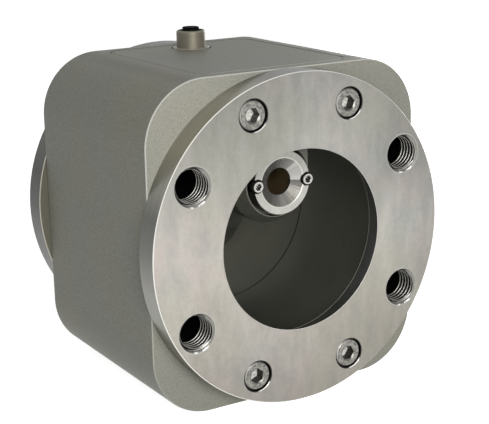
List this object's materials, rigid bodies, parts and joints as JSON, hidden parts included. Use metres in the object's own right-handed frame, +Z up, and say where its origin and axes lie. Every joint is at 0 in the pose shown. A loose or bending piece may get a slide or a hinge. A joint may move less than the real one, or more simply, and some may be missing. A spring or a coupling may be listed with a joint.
{
  "type": "in-line oil quality sensor",
  "caption": "In-line oil quality sensor: a rounded block with a wide flow bore between bolting flanges, a probe hung in the bore and a plug connector on top.",
  "frame": {"origin": "middle of the block's flat base, under the bore axis", "axes": "+X across the flow, +Y along the flow from the front flange to the rear flange, +Z up to the connector"},
  "size_m": [0.145, 0.1254, 0.1548],
  "materials": {
    "block_finish": "fine bead-blasted, hard-anodised greenish grey",
    "flange_steel": "turned and finely ground stainless steel",
    "screw_steel": "bright stainless steel",
    "nozzle_steel": "polished stainless steel",
    "nickel": "satin nickel-plated brass",
    "insert_plastic": "black moulded contact insert",
    "contact_metal": "gold-plated contacts",
    "seal_rubber": "black nitrile rubber",
    "tube_plastic": "brown high-temperature plastic tube",
    "bobbin_plastic": "natural glass-filled plastic",
    "copper": "enamelled copper winding",
    "shield_metal": "thin annealed shielding metal",
    "board_laminate": "green solder-masked circuit board",
    "chip_plastic": "black epoxy chip package",
    "can_metal": "capacitor cans",
    "lead_sheath": "grey sheath of the coil leads"
  },
  "bodies": {
    "root": {"body": "block_finish", "cover_plate": "block_finish", "cover_gasket": "seal_rubber", "cover_grub_screws": "screw_steel", "front_flange": "flange_steel", "rear_flange": "flange_steel", "front_flange_cap_screws": "screw_steel", "rear_flange_cap_screws": "screw_steel", "front_flange_seal": "seal_rubber", "rear_flange_seal": "seal_rubber", "probe_carrier": "block_finish", "probe_carrier_screws": "screw_steel", "probe_neck_seal": "seal_rubber", "front_nozzle": "nozzle_steel", "rear_nozzle": "nozzle_steel", "front_nozzle_screws": "screw_steel", "rear_nozzle_screws": "screw_steel", "front_nozzle_seal": "seal_rubber", "rear_nozzle_seal": "seal_rubber", "front_tube_seal": "seal_rubber", "rear_tube_seal": "seal_rubber", "measuring_tube": "tube_plastic", "coil_bobbin": "bobbin_plastic", "front_sense_winding": "copper", "drive_winding": "copper", "rear_sense_winding": "copper", "shield_sleeve": "shield_metal", "coil_leads": "lead_sheath", "coil_lead_header": "chip_plastic", "circuit_board": "board_laminate", "board_standoffs": "nickel", "board_screws": "screw_steel", "processor_chip": "chip_plastic", "signal_chips": "chip_plastic", "filter_capacitors": "can_metal", "connector_shell": "nickel", "connector_gland": "seal_rubber", "connector_insert": "insert_plastic", "connector_contacts": "contact_metal", "connector_seal": "seal_rubber", "connector_nut": "nickel"}
  },
  "joints": []
}
